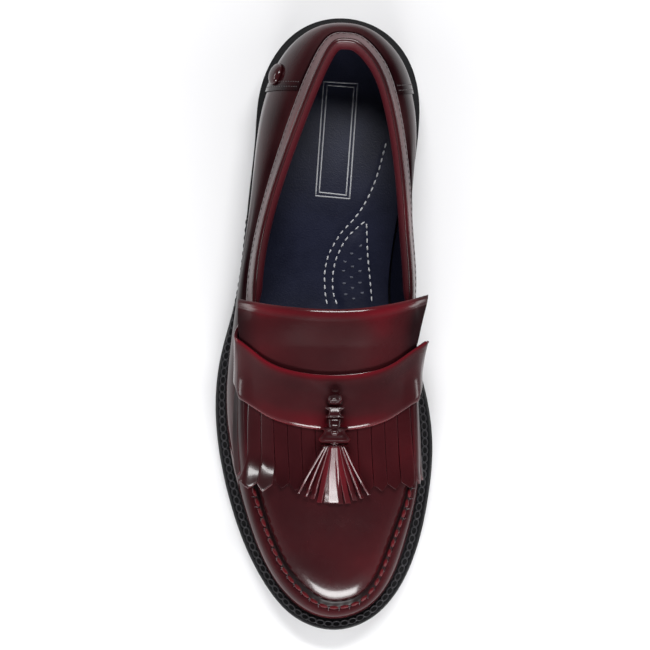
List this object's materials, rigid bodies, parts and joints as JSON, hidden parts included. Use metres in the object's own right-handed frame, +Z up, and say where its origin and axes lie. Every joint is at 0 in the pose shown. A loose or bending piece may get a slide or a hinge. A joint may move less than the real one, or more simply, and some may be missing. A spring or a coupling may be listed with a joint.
{
  "type": "saddle loafer",
  "caption": "Burgundy polished-leather kiltie loafer for the right foot, with a fringed flap, a saddle strap, a tassel, a raised apron seam and a black rubber sole with a heel",
  "frame": {"origin": "floor level under the middle of the sole's length and width", "axes": "+Z up, -Y towards the toe, +X towards the inner side of the foot"},
  "size_m": [0.107, 0.2978, 0.0866],
  "materials": {
    "upper_leather": "gloss",
    "kiltie_leather": "gloss",
    "insole_leather": "satin",
    "welt_leather": "satin",
    "sole_rubber": "matte"
  },
  "bodies": {
    "root": {"upper": "upper_leather", "outsole": "sole_rubber", "heel": "sole_rubber", "welt": "welt_leather", "insole": "insole_leather", "heel_counter": "upper_leather", "heel_stud": "upper_leather", "kiltie": "kiltie_leather", "saddle_strap": "kiltie_leather", "tassel_tie": "kiltie_leather", "tassel_head": "kiltie_leather", "tassel_skirt": "kiltie_leather"}
  },
  "joints": []
}
